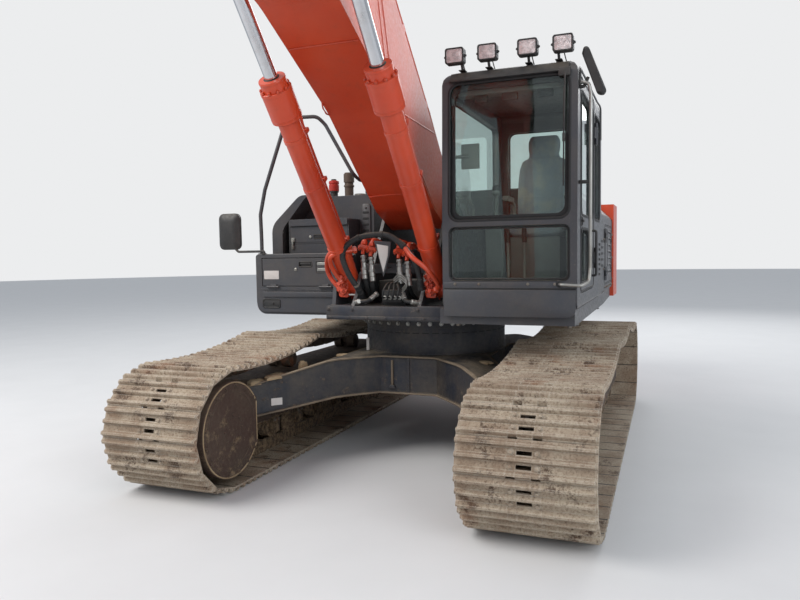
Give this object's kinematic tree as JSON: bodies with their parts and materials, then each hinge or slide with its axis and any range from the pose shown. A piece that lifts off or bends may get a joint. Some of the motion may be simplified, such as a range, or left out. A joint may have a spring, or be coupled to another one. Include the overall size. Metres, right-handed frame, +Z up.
{
  "type": "crawler excavator",
  "caption": "Tracked hydraulic excavator of the 30 tonne class with swinging upper body, cab, boom, arm and bucket on jointed cylinders.",
  "frame": {"origin": "on the slew axis at ground level, under the middle of the turret", "axes": "+Z up, -Y towards the machine's front where boom and bucket are, +X towards the machine's left where the cab is"},
  "size_m": [3.53, 10.5952, 4.758],
  "materials": {
    "orange_paint": "satin paint, sun-faded, dusty",
    "grey_paint": "satin anthracite paint",
    "frame_paint": "near-black paint under dust",
    "track_steel": "worn steel with dried mud",
    "running_gear": "oily dark cast steel with dust",
    "rod_chrome": "polished hard chrome",
    "window_glass": "green-tinted safety glass",
    "machine_grey": "dull grey casting",
    "black_plastic": "matt black plastic",
    "seat_cloth": "woven seat cloth",
    "exhaust_steel": "heat-dulled steel",
    "lamp_plastic": "lamp housings with clear lenses",
    "bucket_steel": "worn dark paint with bare rusty edges",
    "tooth_steel": "ground-polished cast steel"
  },
  "bodies": {
    "undercarriage": {"car_body": "frame_paint", "track_frame_left": "frame_paint", "track_frame_right": "frame_paint", "track_left": "track_steel", "track_right": "track_steel", "sprockets": "running_gear", "idlers": "running_gear", "rollers": "running_gear", "slew_ring": "frame_paint"},
    "upper": {"platform": "frame_paint", "counterweight": "orange_paint", "engine": "machine_grey", "rear_covers": "grey_paint", "tanks": "grey_paint", "front_box": "grey_paint", "handrails": "grey_paint", "mirrors": "black_plastic", "exhaust": "exhaust_steel", "swing_drive": "machine_grey", "cab_shell": "grey_paint", "cab_glass": "window_glass", "seat_base": "black_plastic", "seat_cushion": "seat_cloth", "seat_back": "seat_cloth", "console": "black_plastic", "work_lamps": "lamp_plastic"},
    "cab_door": {"cab_door": "grey_paint", "door_glass": "window_glass"},
    "pump_door": {"pump_cover": "grey_paint"},
    "cooler_door": {"cooler_cover": "grey_paint"},
    "hood": {"hood": "grey_paint"},
    "box_door": {"box_door": "grey_paint"},
    "boom": {"boom": "orange_paint", "boom_pipes": "orange_paint"},
    "boom_barrels": {"boom_barrels": "orange_paint"},
    "boom_rods": {"boom_rods": "rod_chrome"},
    "arm": {"arm": "orange_paint"},
    "arm_barrel": {"arm_barrel": "orange_paint"},
    "arm_rod": {"arm_rod": "rod_chrome"},
    "bucket_barrel": {"bucket_barrel": "orange_paint"},
    "bucket_rod": {"bucket_rod": "rod_chrome"},
    "guide_links": {"guide_links": "orange_paint"},
    "push_link": {"push_link": "orange_paint"},
    "bucket": {"bucket": "bucket_steel", "bucket_teeth": "tooth_steel"}
  },
  "joints": [
    {"name": "swing", "type": "hinge", "parent": "undercarriage", "child": "upper", "pos_m": [0, 0, 1.14], "axis": [0, 0, 1], "continuous": true},
    {"name": "boom_lift", "type": "hinge", "parent": "upper", "child": "boom", "pos_m": [-0.05, -0.17, 2.08], "axis": [-1, 0, 0], "range_deg": [-53.8, 43.9]},
    {"name": "boom_barrels_turn", "type": "hinge", "parent": "upper", "child": "boom_barrels", "pos_m": [-0.05, -0.88, 1.457], "axis": [-1, 0, 0], "range_deg": [-55.5, 45.5]},
    {"name": "boom_rods_slide", "type": "slide", "parent": "boom_barrels", "child": "boom_rods", "axis": [0, -0.6393, 0.7689], "range_m": [-0.775, 0.635]},
    {"name": "arm_swing", "type": "hinge", "parent": "boom", "child": "arm", "pos_m": [-0.05, -6.12683, 3.79935], "axis": [1, 0, 0], "range_deg": [-65, 55]},
    {"name": "arm_barrel_turn", "type": "hinge", "parent": "boom", "child": "arm_barrel", "pos_m": [-0.05, -2.59199, 4.50684], "axis": [1, 0, 0], "range_deg": [-2, 2]},
    {"name": "arm_rod_slide", "type": "slide", "parent": "arm_barrel", "child": "arm_rod", "axis": [0, -0.9994, 0.0348], "range_m": [-0.81, 0.69]},
    {"name": "bucket_curl", "type": "hinge", "parent": "arm", "child": "bucket", "pos_m": [-0.05, -6.87679, 0.79143], "axis": [1, 0, 0], "range_deg": [-125, 46]},
    {"name": "bucket_barrel_turn", "type": "hinge", "parent": "arm", "child": "bucket_barrel", "pos_m": [-0.05, -6.76444, 3.39149], "axis": [1, 0, 0], "range_deg": [-2.7, 1.2]},
    {"name": "bucket_rod_slide", "type": "slide", "parent": "bucket_barrel", "child": "bucket_rod", "axis": [0, -0.2343, -0.9722], "range_m": [-0.8, 0.34]},
    {"name": "guide_links_turn", "type": "hinge", "parent": "arm", "child": "guide_links", "pos_m": [-0.05, -6.79945, 1.22562], "axis": [1, 0, 0], "range_deg": [-82, 34.5]},
    {"name": "push_link_turn", "type": "hinge", "parent": "bucket", "child": "push_link", "pos_m": [-0.05, -7.06857, 0.40657], "axis": [1, 0, 0], "range_deg": [-31, 83]},
    {"name": "cab_door_hinge", "type": "hinge", "parent": "upper", "child": "cab_door", "pos_m": [1.468, -0.188, 2.1], "axis": [0, 0, 1], "range_deg": [0, 95]},
    {"name": "pump_door_hinge", "type": "hinge", "parent": "upper", "child": "pump_door", "pos_m": [-1.424, 1.284, 1.67], "axis": [0, 0, 1], "range_deg": [0, 100]},
    {"name": "cooler_door_hinge", "type": "hinge", "parent": "upper", "child": "cooler_door", "pos_m": [1.424, 1.284, 1.67], "axis": [0, 0, -1], "range_deg": [0, 100]},
    {"name": "hood_hinge", "type": "hinge", "parent": "upper", "child": "hood", "pos_m": [0, 1.232, 2.336], "axis": [1, 0, 0], "range_deg": [0, 60]},
    {"name": "box_door_hinge", "type": "hinge", "parent": "upper", "child": "box_door", "pos_m": [-0.98, -0.796, 1.443], "axis": [1, 0, 0], "range_deg": [0, 85]}
  ],
  "couplings": [
    {"joint": "boom_barrels_turn", "follows": "boom_lift", "ratio": 1.02},
    {"joint": "boom_rods_slide", "follows": "boom_lift", "m_per_rad": 0.81933},
    {"joint": "arm_barrel_turn", "follows": "arm_swing", "ratio": 0.02},
    {"joint": "arm_rod_slide", "follows": "arm_swing", "m_per_rad": 0.71047},
    {"joint": "bucket_barrel_turn", "follows": "bucket_curl", "ratio": 0.02},
    {"joint": "bucket_rod_slide", "follows": "bucket_curl", "m_per_rad": 0.36096},
    {"joint": "guide_links_turn", "follows": "bucket_curl", "ratio": 0.65},
    {"joint": "push_link_turn", "follows": "bucket_curl", "ratio": -0.66}
  ]
}
